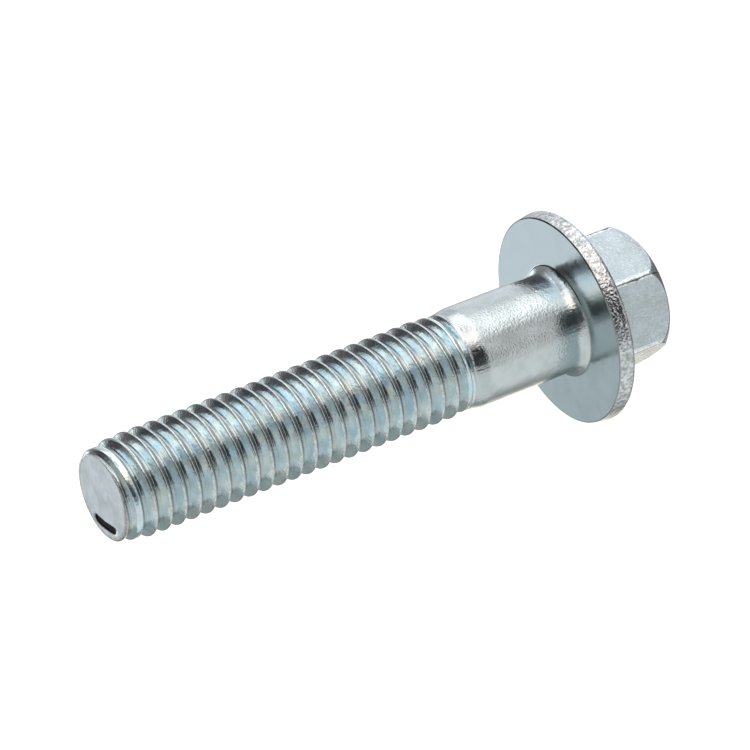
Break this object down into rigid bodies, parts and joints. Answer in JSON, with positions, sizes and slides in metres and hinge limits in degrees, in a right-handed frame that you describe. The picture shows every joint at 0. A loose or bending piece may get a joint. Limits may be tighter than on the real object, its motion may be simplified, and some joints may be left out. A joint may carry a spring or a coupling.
{
  "type": "flange bolt",
  "caption": "Zinc plated hexagon flange bolt with a plain shank, a tapered shoulder and a coarse right-hand thread.",
  "frame": {"origin": "centre of the head's flat end face, on which the bolt stands", "axes": "+Z along the bolt's axis from the head to the thread end; +X through a corner of the hexagon"},
  "size_m": [0.0168, 0.0168, 0.0473],
  "materials": {
    "flange_bolt": "bright blue-white zinc plating on cold-forged steel, smooth flanks, rough sheared rim"
  },
  "bodies": {
    "root": {"flange_bolt": "flange_bolt"}
  },
  "joints": []
}
